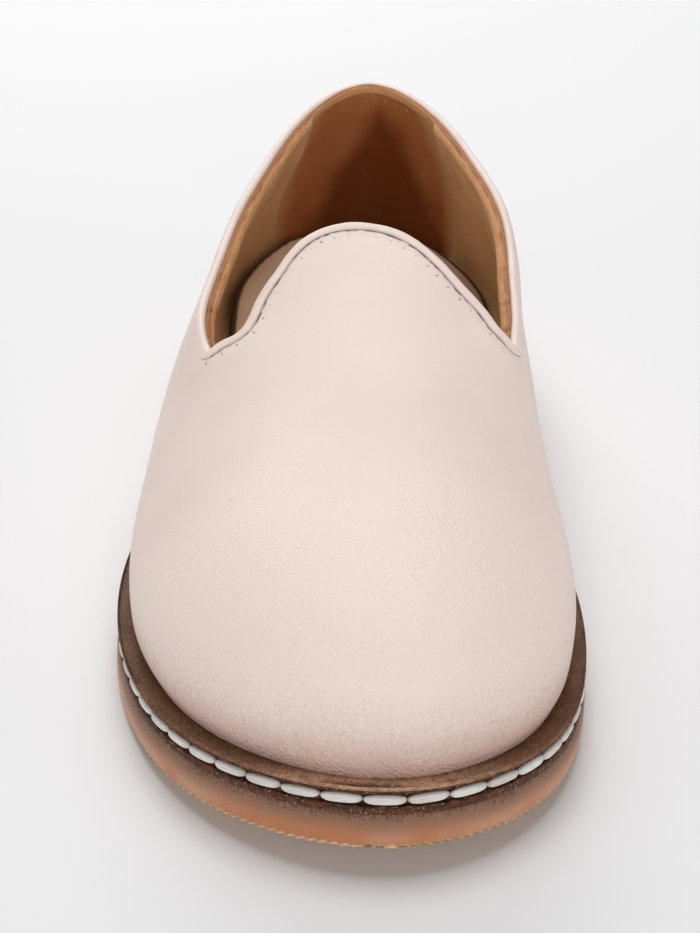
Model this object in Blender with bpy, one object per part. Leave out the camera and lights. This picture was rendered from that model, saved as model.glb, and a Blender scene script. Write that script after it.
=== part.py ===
"""A flat slip-on shoe for the right foot: toe towards -Y, medial side towards +X, tread on z = 0."""
import bpy
import numpy as np


def table(names, *rows):
    """A short table whose columns are read by name."""
    return np.array(list(rows), dtype=[(name, float) for name in names.split()])


# Driving sizes in metres
LENGTH = 0.2515             # along the feather line, where upper and welt meet
BALL_WIDTH = 0.0900         # width at the ball that the outline's shares refer to
INSTEP_HEIGHT = 0.0600      # crest of the vamp above the feather line at the throat
HEEL_HEIGHT = 0.0483        # collar above the feather line at the back of the heel
WALL = 0.0022               # leather and lining together
JOINT_GAP = 0.0003          # between neighbouring pieces

OUTSOLE_FOREFOOT = 0.0062   # rubber under the ball
OUTSOLE_HEEL = 0.0146       # rubber under the heel
MIDSOLE_THICKNESS = 0.0059
TOE_SPRING = 0.0072
ARCH_RISE = 0.0025
HEEL_BEVEL_RISE = 0.0012    # lift of the tread at the very back
WELT_TOE = 0.0039           # how far the welt stands out past the feather line
WELT_SIDE = 0.0030
WELT_HEEL = 0.0026

CHANNEL_DROP = 0.0011       # welt lip above the stitch channel
CHANNEL_HEIGHT = 0.0026
CHANNEL_DEPTH = 0.0010
INSOLE_THICKNESS = 0.0032
INSOLE_INSET = 0.0031
INSOLE_EDGE = 0.0006        # rounding of the insole's upper edge
BINDING_HEIGHT = 0.0024     # rolled strip along the collar
BINDING_WIDTH = 0.0027

# Places along the shoe, from 0 at the heel back to 1 at the toe tip
HEEL_BEVEL_END = 0.06
ARCH_START = 0.26
ARCH_FULL_START = 0.42
ARCH_FULL_END = 0.46
ARCH_END = 0.62
SPRING_START = 0.70
SPRING_END = 1.016
WEDGE_START = 0.20
WEDGE_END = 0.68
RAY_FRONT = 0.62
RAY_BACK = 0.17

# Bends and leans
HEEL_LEAN = 0.0095          # forward lean of the heel's back, metres at HEEL_LEAN_LEVEL
HEEL_LEAN_LEVEL = 0.050
HEEL_LEAN_REACH = 0.45
HEEL_HOLLOW = 0.35          # how far the heel's back swells out low down before it leans in
RAY_RISE = 0.012            # height of the line that the wall is measured from
CORNER_SOFTENING = 0.0065   # length over which the throat's corners are rounded

# How finely the faceted solids are cut
COLUMNS = 112
OUTER_ROWS = 16
INNER_ROWS = 12
ROW_CROWDING = 1.35         # above 1 the rows lie closer together near the feather line
SOLE_SAMPLES = 128
FINE = 1600

# Feather line seen from above: share of the length, share of the ball width (+ medial)
OUTLINE = table(
    "along across",
    (0.000, 0.000),     # heel back
    (0.140, -0.345),    # lateral heel
    (0.420, -0.405),    # lateral waist
    (0.635, -0.525),    # lateral ball
    (0.830, -0.466),    # little toe
    (0.954, -0.248),    # lateral tip
    (1.000, 0.085),     # toe tip
    (0.937, 0.341),     # big toe
    (0.825, 0.446),     # medial joint
    (0.720, 0.462),     # medial ball
    (0.440, 0.355),     # medial waist
    (0.150, 0.330),     # medial heel
)

# Crest of the last from toe to heel: height as a share of the instep height
CREST = table(
    "along height",
    (1.000, 0.000),
    (0.990, 0.250),
    (0.950, 0.428),
    (0.860, 0.575),
    (0.720, 0.667),
    (0.600, 0.805),
    (0.480, 0.990),
    (0.360, 1.085),
    (0.200, 1.110),
    (0.000, 1.090),
)

# Cross-sections from heel to toe: crest place as a share of the ball width, roundness of the crest
# (2 is an ellipse), steepness of each wall (more is more upright), level of the widest place, and
# how far each wall stands out there past the feather line, as a share of the ball width
SECTIONS = table(
    "along crest_across roundness lateral medial widest lateral_bulge medial_bulge",
    (0.00, 0.006, 2.00, 1.75, 2.40, 0.15, 0.000, 0.000),
    (0.20, 0.002, 2.00, 1.08, 1.62, 0.18, 0.016, 0.018),
    (0.37, 0.006, 2.05, 1.70, 2.75, 0.22, 0.042, 0.042),
    (0.50, 0.011, 2.10, 2.00, 3.30, 0.24, 0.044, 0.032),
    (0.62, 0.025, 2.10, 1.85, 2.45, 0.22, 0.011, 0.009),
    (0.80, 0.052, 2.10, 1.75, 1.85, 0.25, 0.010, 0.012),
    (1.00, 0.085, 2.10, 2.20, 2.00, 0.25, 0.000, 0.000),
)

# Throat from the lateral to the medial corner: share of the corner's distance from the middle
THROAT = table(
    "across along",
    (-1.00, 0.557),
    (-0.85, 0.571),
    (-0.70, 0.548),
    (-0.50, 0.508),
    (-0.25, 0.490),
    (0.00, 0.490),
    (0.25, 0.500),
    (0.50, 0.522),
    (0.70, 0.545),
    (0.85, 0.558),
    (1.00, 0.553),
)

# Collar at the sides: height above the feather line as a share of the heel height
TOPLINE = table(
    "along height",
    (0.00, 1.000),
    (0.18, 0.876),
    (0.38, 0.785),
    (0.56, 0.800),
    (0.70, 0.810),
)

# Cross-section of the rolled strip: share of its width (+ outwards) and of its height
BINDING_PROFILE = table(
    "out up",
    (-0.50, 0.00),
    (0.50, 0.00),
    (0.56, 0.40),
    (0.40, 0.80),
    (0.00, 1.00),
    (-0.40, 0.80),
    (-0.56, 0.40),
)

# Base colour, roughness and metallic value of each piece
FINISHES = {
    "outsole": ((0.50, 0.25, 0.11), 0.55, 0.0),
    "midsole": ((0.12, 0.06, 0.03), 0.80, 0.0),
    "insole": ((0.28, 0.18, 0.11), 0.75, 0.0),
    "upper": ((0.78, 0.64, 0.58), 0.50, 0.0),
    "collar_binding": ((0.76, 0.62, 0.56), 0.50, 0.0),
}


def spline(knots, values, at, period=0.0):
    """Cubic curve through the values at the knots, closed on itself when a period is given."""
    knots = np.asarray(knots, float)
    values = np.asarray(values, float)
    if period:
        knots = np.append(knots, knots[0] + period)
        values = np.append(values, values[:1], axis=0)
    gap = np.diff(knots)
    rise = (np.diff(values, axis=0).T / gap).T
    last = len(knots) - 1
    system = np.zeros((last + 1, last + 1))
    target = np.zeros_like(values)
    for i in range(1, last):
        system[i, i - 1:i + 2] = gap[i], 2 * (gap[i - 1] + gap[i]), gap[i - 1]
        target[i] = 3 * (gap[i] * rise[i - 1] + gap[i - 1] * rise[i])
    if period:
        system[0, 0], system[0, last] = 1, -1
        system[last, 0], system[last, 1] = 2 * (gap[-1] + gap[0]), gap[-1]
        system[last, last - 1] = gap[0]
        target[last] = 3 * (gap[0] * rise[-1] + gap[-1] * rise[0])
    else:
        system[0, :2] = 2, 1
        system[last, last - 1:] = 1, 2
        target[0], target[last] = 3 * rise[0], 3 * rise[-1]
    slope = np.linalg.solve(system, target)
    at = np.asarray(at, float)
    if period:
        at = (at - knots[0]) % period + knots[0]
    i = np.clip(np.searchsorted(knots, at, side="right") - 1, 0, last - 1)
    step = gap[i]
    u = (at - knots[i]) / step
    if values.ndim > 1:
        step, u = step[..., None], u[..., None]
    start = (1 + 2 * u) * (1 - u) ** 2 * values[i] + u * (1 - u) ** 2 * step * slope[i]
    end = u * u * (3 - 2 * u) * values[i + 1] - u * u * (1 - u) * step * slope[i + 1]
    return start + end


def lengths_along(points):
    """Distance from the first point, along the points."""
    return np.concatenate([[0], np.cumsum(np.linalg.norm(np.diff(points, axis=0), axis=1))])


def even_points(points, count):
    """The same path cut into evenly spaced points, ends included."""
    travelled = lengths_along(points)
    at = np.linspace(0, travelled[-1], count)
    return np.stack([np.interp(at, travelled, axis) for axis in points.T], axis=-1)


def closed(points):
    return np.append(points, points[:1], axis=0)


def smooth_step(start, end, x):
    share = np.clip((x - start) / (end - start), 0, 1)
    return share * share * (3 - 2 * share)


def y_at(along):
    return LENGTH / 2 - np.asarray(along) * LENGTH


def along_at(y):
    return (LENGTH / 2 - np.asarray(y)) / LENGTH


# The sole's levels above the floor

def toe_lift(y):
    return TOE_SPRING * np.clip((along_at(y) - SPRING_START) / (SPRING_END - SPRING_START), 0, 2) ** 2


def tread_level(y):
    along = along_at(y)
    arch = smooth_step(ARCH_START, ARCH_FULL_START, along)
    arch = arch * (1 - smooth_step(ARCH_FULL_END, ARCH_END, along))
    heel = np.clip((HEEL_BEVEL_END - along) / HEEL_BEVEL_END, 0, 2) ** 2
    return toe_lift(y) + ARCH_RISE * arch + HEEL_BEVEL_RISE * heel


def outsole_top(y):
    wedge = 1 - smooth_step(WEDGE_START, WEDGE_END, along_at(y))
    return OUTSOLE_FOREFOOT + (OUTSOLE_HEEL - OUTSOLE_FOREFOOT) * wedge + toe_lift(y)


def feather_level(y):
    return outsole_top(y) + MIDSOLE_THICKNESS


# Lines seen from above

def feather_line(count):
    """Closed outline from the heel back round the lateral side and the toe, count points."""
    knots = np.column_stack([OUTLINE["across"] * BALL_WIDTH, y_at(OUTLINE["along"])])
    travelled = lengths_along(closed(knots))
    at = np.linspace(0, travelled[-1], FINE, endpoint=False)
    loop = spline(travelled[:-1], knots, at, travelled[-1])
    loop = np.roll(loop, -np.argmax(loop[:, 1]), axis=0)
    tip = np.argmin(loop[:, 1])
    lateral = even_points(loop[:tip + 1], count // 2 + 1)
    medial = even_points(closed(loop)[tip:], count // 2 + 1)
    return np.vstack([lateral[:-1], medial[:-1]])


def moved_out(loop, amount):
    """A closed plan outline moved outwards by an amount at each point."""
    tangent = np.roll(loop, -1, axis=0) - np.roll(loop, 1, axis=0)
    outward = np.column_stack([-tangent[:, 1], tangent[:, 0]])
    outward = outward / np.linalg.norm(outward, axis=1)[:, None]
    heading = np.sign(np.sum(outward * (loop - loop.mean(axis=0))))
    return loop + heading * outward * np.broadcast_to(amount, len(loop))[:, None]


def welt_width(y):
    along = along_at(y)
    toe = (WELT_TOE - WELT_SIDE) * smooth_step(SPRING_START, 1.0, along)
    heel = (WELT_HEEL - WELT_SIDE) * (1 - smooth_step(0.0, ARCH_START, along))
    return WELT_SIDE + toe + heel


FEATHER = feather_line(FINE)
TIP = FEATHER[FINE // 2]
BACK = FEATHER[0]
EDGE = {-1: FEATHER[FINE // 2::-1], 1: closed(FEATHER)[FINE // 2:]}
CREST_LINE = np.column_stack([y_at(CREST["along"]), CREST["height"] * INSTEP_HEIGHT])
CREST_LINE = spline(lengths_along(CREST_LINE), CREST_LINE,
                    np.linspace(0, lengths_along(CREST_LINE)[-1], FINE))


# The last, as cross-sections that follow one another along the shoe

def section(name, y):
    return spline(SECTIONS["along"], SECTIONS[name], np.clip(along_at(y), 0, 1))


def crest_x(y):
    return section("crest_across", y) * BALL_WIDTH


def crest_height(y):
    return np.interp(y, CREST_LINE[:, 0], CREST_LINE[:, 1])


def wall_name(side):
    return "lateral" if side < 0 else "medial"


def feather_half_width(y, side):
    """From the crest's place to the feather line, seen from above."""
    return np.abs(np.interp(y, EDGE[side][:, 1], EDGE[side][:, 0]) - crest_x(y))


def bulge(y, side):
    return section(wall_name(side) + "_bulge", y) * BALL_WIDTH


def heel_shift(y, z):
    """How far the back of the heel has leaned forward at a height."""
    level = np.clip((z - feather_level(y_at(0))) / HEEL_LEAN_LEVEL, 0, 2)
    lean = HEEL_LEAN * ((1 + HEEL_HOLLOW) * level ** 2 - HEEL_HOLLOW * np.clip(level, 0, 1))
    return lean * (1 - smooth_step(0.0, HEEL_LEAN_REACH, along_at(y)))


def half_width(y, z, side):
    """From the crest's place to the wall at a height."""
    y = y + heel_shift(y, z)
    share = np.clip((z - feather_level(y)) / np.maximum(crest_height(y), 1e-6), 0, None)
    widest = section("widest", y)
    up = np.clip((share - widest) / (1 - widest), 0, 1)
    foot = feather_half_width(y, side)
    above = (1 - up ** section(wall_name(side), y)) ** (1 / section("roundness", y))
    below = foot + bulge(y, side) * (1 - (1 - share / widest) ** 2)
    width = np.where(share > widest, (foot + bulge(y, side)) * above, below)
    return np.where((y > BACK[1]) | (y < TIP[1]), 0, width)


def top_level(x, y):
    """Height of the last's upper surface over a plan point."""
    levels = []
    for side in (-1, 1):
        widest_place = feather_half_width(y, side) + bulge(y, side)
        share = np.clip(np.abs(x - crest_x(y)) / widest_place, 0, 1)
        up = (1 - share ** section("roundness", y)) ** (1 / section(wall_name(side), y))
        widest = section("widest", y)
        levels.append(feather_level(y) + crest_height(y) * (widest + (1 - widest) * up))
    return np.where(x < crest_x(y), *levels)


def inside_last(points):
    x, y, z = points[..., 0], points[..., 1], points[..., 2]
    middle = crest_x(y + heel_shift(y, z))
    return np.where(x < middle, middle - x < half_width(y, z, -1), x - middle < half_width(y, z, 1))


def cast_to_last(origins, directions, reach=0.25):
    """Where rays from inside the last come out of it."""
    near = np.zeros(directions.shape[:-1])
    far = np.full(directions.shape[:-1], reach)
    for _ in range(34):
        middle = (near + far) / 2
        within = inside_last(origins + directions * middle[..., None])
        near = np.where(within, middle, near)
        far = np.where(within, far, middle)
    return origins + directions * near[..., None]


# The collar: two side lines and a bell-shaped throat

def topline_level(y):
    share = spline(TOPLINE["along"], TOPLINE["height"], along_at(y))
    return feather_level(y) + share * HEEL_HEIGHT


def side_topline(side):
    """From the heel back to the throat's corner."""
    corner = y_at(THROAT["along"][0 if side < 0 else -1])
    back = BACK[1]
    for _ in range(30):
        back = BACK[1] - heel_shift(back, topline_level(back))
    y = corner + (back - corner) * np.cos(np.linspace(0, np.pi / 2, FINE // 2))
    z = topline_level(y)
    x = crest_x(y + heel_shift(y, z)) + side * half_width(y, z, side)
    return np.stack([x, y, z], axis=-1)


def throat(left, right):
    """From one corner over the peak to the other."""
    share = np.linspace(-1, 1, FINE // 2)
    x = np.where(share < 0, -share * left[0], share * right[0])
    y = y_at(spline(THROAT["across"], THROAT["along"], share))
    return np.stack([x, y, top_level(x, y)], axis=-1)


def collar_line():
    """Closed line from the heel back round the lateral side, with its corners rounded."""
    lateral, medial = side_topline(-1), side_topline(1)
    front = throat(lateral[-1], medial[-1])
    loop = np.vstack([lateral[:-1], front[:-1], medial[::-1]])
    loop = even_points(loop, FINE + 1)[:-1]
    spacing = np.linalg.norm(loop[1] - loop[0])
    reach = int(CORNER_SOFTENING / spacing)
    weights = np.hanning(2 * reach + 3)[1:-1]
    weights = weights / weights.sum()
    return sum(weight * np.roll(loop, shift - reach, axis=0) for shift, weight in enumerate(weights))


def halves(loop, front, count):
    """Points on a closed loop, as many from its start to the front as from there back."""
    first = even_points(loop[:front + 1], count // 2 + 1)
    second = even_points(closed(loop)[front:], count // 2 + 1)
    return np.vstack([first[:-1], second[:-1]])


# The upper's wall, as rows of points from the feather line up to the collar

def unit(vectors):
    return vectors / np.linalg.norm(vectors, axis=-1)[..., None]


def wall_columns(steps=60):
    """Fine columns of points on the last between the feather line and the collar."""
    feather = feather_line(COLUMNS)
    feather = np.column_stack([feather, feather_level(feather[:, 1])])
    collar = collar_line()
    ahead = collar[:, 1] < y_at(THROAT["along"].min()) + CORNER_SOFTENING
    peak = np.argmax(np.where(ahead, collar[:, 2], 0))
    collar = halves(collar, peak, COLUMNS)
    level = np.clip(feather[:, 1], y_at(RAY_FRONT), y_at(RAY_BACK))
    origins = np.column_stack([np.zeros(COLUMNS), level, feather_level(level) + RAY_RISE])
    low, high = unit(feather - origins), unit(collar - origins)
    angle = np.arccos(np.sum(low * high, axis=1))[:, None]
    share = np.linspace(0, 1, steps)[:, None, None]
    directions = (np.sin((1 - share) * angle) * low + np.sin(share * angle) * high) / np.sin(angle)
    return cast_to_last(origins, directions)


def wall_rows(columns, rows, stop_short):
    """Rows from the feather line that end a little below the collar."""
    shares = np.linspace(0, 1, rows) ** ROW_CROWDING
    grid = np.zeros((rows, columns.shape[1], 3))
    for i in range(columns.shape[1]):
        travelled = lengths_along(columns[:, i])
        at = shares * (travelled[-1] - stop_short)
        for axis in range(3):
            grid[:, i, axis] = np.interp(at, travelled, columns[:, i, axis])
    return grid


def wall_normals(grid):
    around = np.roll(grid, -1, axis=1) - np.roll(grid, 1, axis=1)
    upward = np.gradient(grid, axis=0)
    return unit(np.cross(around, upward))


# Solids from rings of points

def new_object(name, points, faces):
    mesh = bpy.data.meshes.new(name)
    mesh.from_pydata([tuple(point) for point in points], [], faces)
    mesh.update()
    solid = bpy.data.objects.new(name, mesh)
    bpy.context.scene.collection.objects.link(solid)
    mesh.materials.append(finish(name))
    return solid


def finish(name):
    colour, roughness, metallic = FINISHES[name]
    material = bpy.data.materials.new(name)
    material.use_nodes = True
    shader = material.node_tree.nodes["Principled BSDF"]
    shader.inputs["Base Color"].default_value = (*colour, 1.0)
    shader.inputs["Roughness"].default_value = roughness
    shader.inputs["Metallic"].default_value = metallic
    return material


def band(lower, upper, count):
    """Quads between two rings of points, given by their first indices."""
    following = [(i + 1) % count for i in range(count)]
    return [(lower + i, lower + j, upper + j, upper + i) for i, j in enumerate(following)]


def hoop(name, rings):
    """A solid that closes on itself both ways, such as a wall that is open above and below."""
    count = len(rings[0])
    faces = []
    for k in range(len(rings)):
        faces += band(k * count, (k + 1) % len(rings) * count, count)
    return new_object(name, np.vstack(rings), faces)


def cap(first, count, upward):
    """Strips across a ring, from its lateral to its medial side."""
    faces = [(first, first + 1, first + count - 1)]
    for i in range(1, count // 2 - 1):
        faces.append((first + i, first + i + 1, first + count - i - 1, first + count - i))
    faces.append((first + count // 2 - 1, first + count // 2, first + count // 2 + 1))
    return faces if upward else [face[::-1] for face in faces]


def slab(name, rings):
    """A solid between its lowest and its highest ring."""
    count = len(rings[0])
    faces = cap(0, count, upward=False)
    for k in range(len(rings) - 1):
        faces += band(k * count, (k + 1) * count, count)
    faces += cap((len(rings) - 1) * count, count, upward=True)
    return new_object(name, np.vstack(rings), faces)


def ring(outline, level):
    """A plan outline lifted to a level that may change along the shoe."""
    return np.column_stack([outline, level(outline[:, 1])])


# The pieces

def make_outsole(edge):
    return slab("outsole", [ring(edge, tread_level), ring(edge, outsole_top)])


def make_midsole(edge):
    groove = moved_out(edge, -CHANNEL_DEPTH)
    channel_top = CHANNEL_DROP
    channel_bottom = CHANNEL_DROP + CHANNEL_HEIGHT
    rings = [ring(edge, lambda y: outsole_top(y) + JOINT_GAP)]
    for outline, drop in ((edge, channel_bottom), (groove, channel_bottom),
                          (groove, channel_top), (edge, channel_top), (edge, 0.0)):
        rings.append(ring(outline, lambda y: feather_level(y) - drop))
    return slab("midsole", rings)


def make_insole(feather):
    outline = moved_out(feather, -INSOLE_INSET)
    rings = []
    for inset, height in ((0.0, 0.0), (0.0, INSOLE_THICKNESS - INSOLE_EDGE), (INSOLE_EDGE, INSOLE_THICKNESS)):
        rings.append(ring(moved_out(outline, -inset), lambda y: feather_level(y) + JOINT_GAP + height))
    return slab("insole", rings)


def make_upper(columns):
    """One hollow wall, open at the collar and underneath."""
    outer = wall_rows(columns, OUTER_ROWS, BINDING_HEIGHT + JOINT_GAP)
    middle = wall_rows(columns, INNER_ROWS, BINDING_HEIGHT + JOINT_GAP)
    inner = middle - WALL * wall_normals(middle)
    for foot in (outer[0], inner[0]):
        foot[:, 2] = feather_level(foot[:, 1]) + JOINT_GAP
    return hoop("upper", [*outer, *inner[::-1]])


def make_collar_binding(columns):
    """A rolled strip that stands on the rim of the upper."""
    rows = wall_rows(columns, 4 * OUTER_ROWS, 0.0)
    outward = wall_normals(rows)[-1]
    rim = wall_rows(columns, 2, BINDING_HEIGHT)[1]
    upward = unit(rows[-1] - rim)
    centre = rim - outward * WALL / 2
    rings = []
    for row in BINDING_PROFILE:
        rings.append(centre + outward * row["out"] * BINDING_WIDTH + upward * row["up"] * BINDING_HEIGHT)
    return hoop("collar_binding", rings)


def centre_on_floor(pieces):
    """Move everything so that the middle of the shoe's box stands over the origin."""
    corners = np.array([corner for piece in pieces for corner in piece.bound_box])
    middle = (corners.min(axis=0) + corners.max(axis=0)) / 2
    for piece in pieces:
        for vertex in piece.data.vertices:
            vertex.co.x -= middle[0]
            vertex.co.y -= middle[1]


def main():
    for old in list(bpy.data.objects):
        bpy.data.objects.remove(old, do_unlink=True)
    feather = feather_line(SOLE_SAMPLES)
    edge = moved_out(feather, welt_width(feather[:, 1]))
    columns = wall_columns()
    pieces = [
        make_outsole(edge),
        make_midsole(edge),
        make_insole(feather),
        make_upper(columns),
        make_collar_binding(columns),
    ]
    centre_on_floor(pieces)


main()
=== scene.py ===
from math import pi, radians

import bmesh
import bpy
import numpy as np
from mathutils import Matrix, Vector, noise
from mathutils.bvhtree import BVHTree
from mathutils.kdtree import KDTree


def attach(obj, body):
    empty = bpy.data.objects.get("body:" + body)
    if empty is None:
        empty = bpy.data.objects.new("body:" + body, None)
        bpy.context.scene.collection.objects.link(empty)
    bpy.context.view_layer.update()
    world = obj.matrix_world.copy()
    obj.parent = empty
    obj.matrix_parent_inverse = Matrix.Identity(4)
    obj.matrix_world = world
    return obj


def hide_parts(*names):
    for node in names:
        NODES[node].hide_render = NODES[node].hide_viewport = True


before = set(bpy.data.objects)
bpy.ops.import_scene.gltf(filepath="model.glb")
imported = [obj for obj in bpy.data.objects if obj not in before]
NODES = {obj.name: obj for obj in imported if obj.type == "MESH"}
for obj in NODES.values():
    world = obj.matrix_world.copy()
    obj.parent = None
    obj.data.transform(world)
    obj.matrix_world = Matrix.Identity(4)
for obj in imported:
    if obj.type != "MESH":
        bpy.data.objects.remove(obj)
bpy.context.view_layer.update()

MM = 0.001

# Working limits
WELD = 0.001 * MM  # points nearer than this are made one
FINE_POINTS = 4000  # places that a line is cut into before distances to it are taken
FLAT = 0.9  # a face whose normal points up more than this is flat,
UPRIGHT_FACE = 0.5  # and one that points up or down less than this stands upright
PLAN = (1, 1, 0)  # keeps a point's place in plan and drops its height
SHEET_ANGLE = 50  # edges blunter than these angles are shaded smooth
ROUND_ANGLE = 80
CUT_ANGLE = 60
RUBBER_ANGLE = 40

# The line inside the shoe that the wall is seen from
AXIS_X = 3 * MM
AXIS_FRONT = -29 * MM
AXIS_BACK = 83 * MM
AXIS_LEVEL = 28 * MM

# Outer leather
LEATHER = 1.2 * MM  # its thickness
RIM_BAND = 1.0 * MM  # faces of the wall nearer than this to the binding are its rim
FOOT_FACING = -0.7  # outer faces that point down more than this are its foot
RIM_CUTS = 2  # extra cuts through the row of faces along the rim
FOOT_SINK = 0.5 * MM  # how far the foot reaches down into the welt
RIM_RAISE = 1.4 * MM  # how much higher the leather reaches along the throat
RIM_REACH = 13 * MM  # how far down the wall a change at the rim is felt
# The throat's bell flares here: past the corner, half width, how far the rim is cut down
LATERAL_FLARE = [(-2.8, 2.7, 2.4), (3.0, 4.0, 1.6), (7.5, 6.0, 2.9), (19.5, 9.5, 2.3)]
MEDIAL_FLARE = [(-2.8, 2.7, 2.8), (1.5, 3.8, 2.2), (13.5, 7.0, 1.2), (23.0, 6.0, 0.45)]
CORNER_PUSH = 1.3 * MM  # how far the wall leans out at the throat's corners
CORNER_PUSH_SPOT = -2 * MM
CORNER_PUSH_WIDTH = 6 * MM
TROUGH_DEPTH = 0.42 * MM  # soft trough under the throat's roll
TROUGH_WIDTH = 1.8 * MM
TUCK_DEPTH = 0.9 * MM  # how far the leather turns in above the welt
TUCK_HEIGHT = 3.6 * MM
SEAM_Y = 64 * MM  # side seam, at this level
SEAM_LEVEL = 55 * MM
SEAM_SLANT = 0.16
SEAM_STEP = 0.45 * MM
SEAM_WIDTH = 0.25 * MM
SWELL = 0.16 * MM  # slow unevenness of the leather
SWELL_SIZE = 24 * MM
SWELL_MARGIN = 8 * MM  # it fades out this near the rim and the foot
# Puckers under the throat's corners: past the corner, length down the vamp, half width, depth
PUCKERS = [
    (-1.5, 5.0, 1.0, 0.16), (1.2, 6.0, 0.9, 0.20), (3.6, 4.6, 0.8, 0.16), (6.2, 4.0, 0.8, 0.13),
    (9.0, 3.2, 0.7, 0.10), (12.2, 2.8, 0.7, 0.08),
]
PUCKER_FADE = 0.3  # share of its length after which a pucker grows shallower
CORNER_RIDGE = 0.30 * MM  # soft ridge of leather under each corner
CORNER_RIDGE_GAP = 3.4 * MM  # below the rim
CORNER_RIDGE_HEIGHT = 1.3 * MM
CORNER_RIDGE_SPOT = 3 * MM  # past the corner
CORNER_RIDGE_LENGTH = 7 * MM
HOLE_PITCH = 3.5 * MM  # pinholes along the throat
HOLE_ROW = 2.1 * MM  # from the rim to the row of holes
HOLE_RADIUS = 0.23 * MM

# Lining and heel grip
LINING = 0.8 * MM  # thickness
LINING_LIFT = 0.1 * MM  # off the wall
LINING_SWELL = 2.4 * MM  # how much thicker the lining is along the sides of the collar
THROAT_SWELL = 0.6 * MM  # and along the throat
LINING_SWELL_START = 6 * MM  # the swelling fades out between these distances from the rim
LINING_SWELL_END = 24 * MM
LINING_WAVE = 0.15 * MM
LINING_WAVE_SIZE = 15 * MM
LINING_TUCK = 0.2 * MM  # how much further than the leather the lining turns in
GRIP_FRONT = 99 * MM  # where the heel grip begins, at this level
GRIP_LEVEL = 45 * MM
GRIP_SLANT = 0.06
GRIP_THICKNESS = 0.3 * MM
GRIP_FADE = 7 * MM  # over which the grip's front sinks into the lining
GRIP_SINK = 0.45 * MM
HOLLOW_SHADE_TOP = 60 * MM  # painted shade darkens the grip below this height,
HOLLOW_SHADE_MIDDLE = 6 * MM  # on both sides of this place,
HOLLOW_SHADE_SLOPE = 0.55  # and wider the lower it is
GRIP_STITCH_PITCH = 4.2 * MM
GRIP_STITCH_DROP = 1.8 * MM  # below the rim of the leather
GRIP_STITCH_LENGTH = 1.7 * MM
GRIP_STITCH_WIDTH = 0.55 * MM
GRIP_STITCH_FRONT = 112 * MM  # the row stays behind this place

# Collar
THROAT_FADE = 7 * MM  # past each corner, where the throat's roll turns into the sides' edge
HEEL_THINNING = 0.58  # share of the raw edge's width that it loses at the heel
HEEL_STEP = (27 * MM, 31 * MM)  # along the collar from the heel, where it does so
HEEL_TUCK = 0.12  # how much more of its thickness the lining loses there
HEEL_SHIFT = 2 * MM  # nearer the heel on the lateral side, and further from it on the medial
ROLL_DROP = 0.8  # how much lower, in millimetres, the roll lies at the heel
ROLL_DROP_END = 45 * MM
ROLL_UPPER = 0.5  # points of its cross-section above this height drop there
# The throat's roll is thicker here, on the lateral and the medial side: past the corner, half width, share
ROLL_SWELL = [(14.0, 8.0, 0.28), (9.0, 13.0, 0.28)]
# Unevenness of the roll and of the raw edge: height, size, seed
ROLL_WAVES = [(0.10, 7, 3.0), (0.05, 2.2, 5.0)]
EDGE_WAVES = [(0.16, 6, 11.0), (0.07, 1.8, 13.0)]
# Nicks in the lining's raw edge: past the corner towards the heel, half width, depth
NICKS = [(8.5, 0.7, 1.1), (12.0, 1.6, -0.5), (15.0, 0.6, 0.6), (27.0, 0.8, 0.45), (44.0, 1.2, -0.35)]
# Cross-sections of the collar roll and of the lining's raw edge, along the throat and along the sides:
# out of the wall and up from its rim
THROAT_ROLL = [
    (-2.00, -0.10), (-1.10, -0.22), (-0.02, -0.18), (0.22, 0.06), (0.33, 0.45), (0.32, 0.95), (0.16, 1.42),
    (-0.15, 1.76), (-0.70, 1.92), (-1.30, 1.84), (-1.75, 1.56), (-2.00, 1.05), (-2.05, 0.50),
]
SIDE_ROLL = [
    (-1.95, -0.10), (-1.10, -0.60), (-0.30, -1.00), (0.03, -0.70), (0.07, 0.10), (0.05, 1.00), (-0.10, 1.75),
    (-0.45, 2.20), (-0.95, 2.40), (-1.50, 2.34), (-1.90, 2.05), (-2.10, 1.40), (-2.15, 0.65),
]
THROAT_EDGE = [
    (-1.80, -0.80), (-1.80, 0.00), (-1.82, 0.60), (-1.95, 0.85), (-2.15, 0.92), (-2.35, 0.86), (-2.60, 0.70),
    (-2.80, 0.45), (-2.88, 0.05), (-2.84, -0.40), (-2.78, -0.90),
]
SIDE_EDGE = [
    (-1.80, -0.80), (-1.80, 0.60), (-1.84, 1.70), (-2.05, 2.02), (-2.60, 2.08), (-3.20, 1.92), (-3.60, 1.98),
    (-4.25, 1.78), (-4.62, 1.20), (-4.64, 0.20), (-4.50, -0.90),
]
RAW_EDGE_START = -2.15  # the raw edge lies further in than this

# Insole
INSOLE_SPREAD = (1.011, 1.004, 1.0)  # brings the insole up to the lining
SOCK_INSETS = (1.2 * MM, 5 * MM)  # rows of faces inside its top edge
SOCK_GAP = (0.3 * MM, 1.2 * MM)  # from the insole's edge, where its line of painted shade fades out
INSOLE_CURL = 3.6 * MM  # how far the insole's lateral edge curls up beside the heel
INSOLE_CURL_WIDTH = 9 * MM
INSOLE_CURL_FRONT = 48 * MM
INSOLE_CURL_RISE = 25 * MM  # it rises over this length at the front,
INSOLE_CURL_FALL = 18 * MM  # and falls over this one at the back
INSOLE_CURL_BACK = 122 * MM

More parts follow.
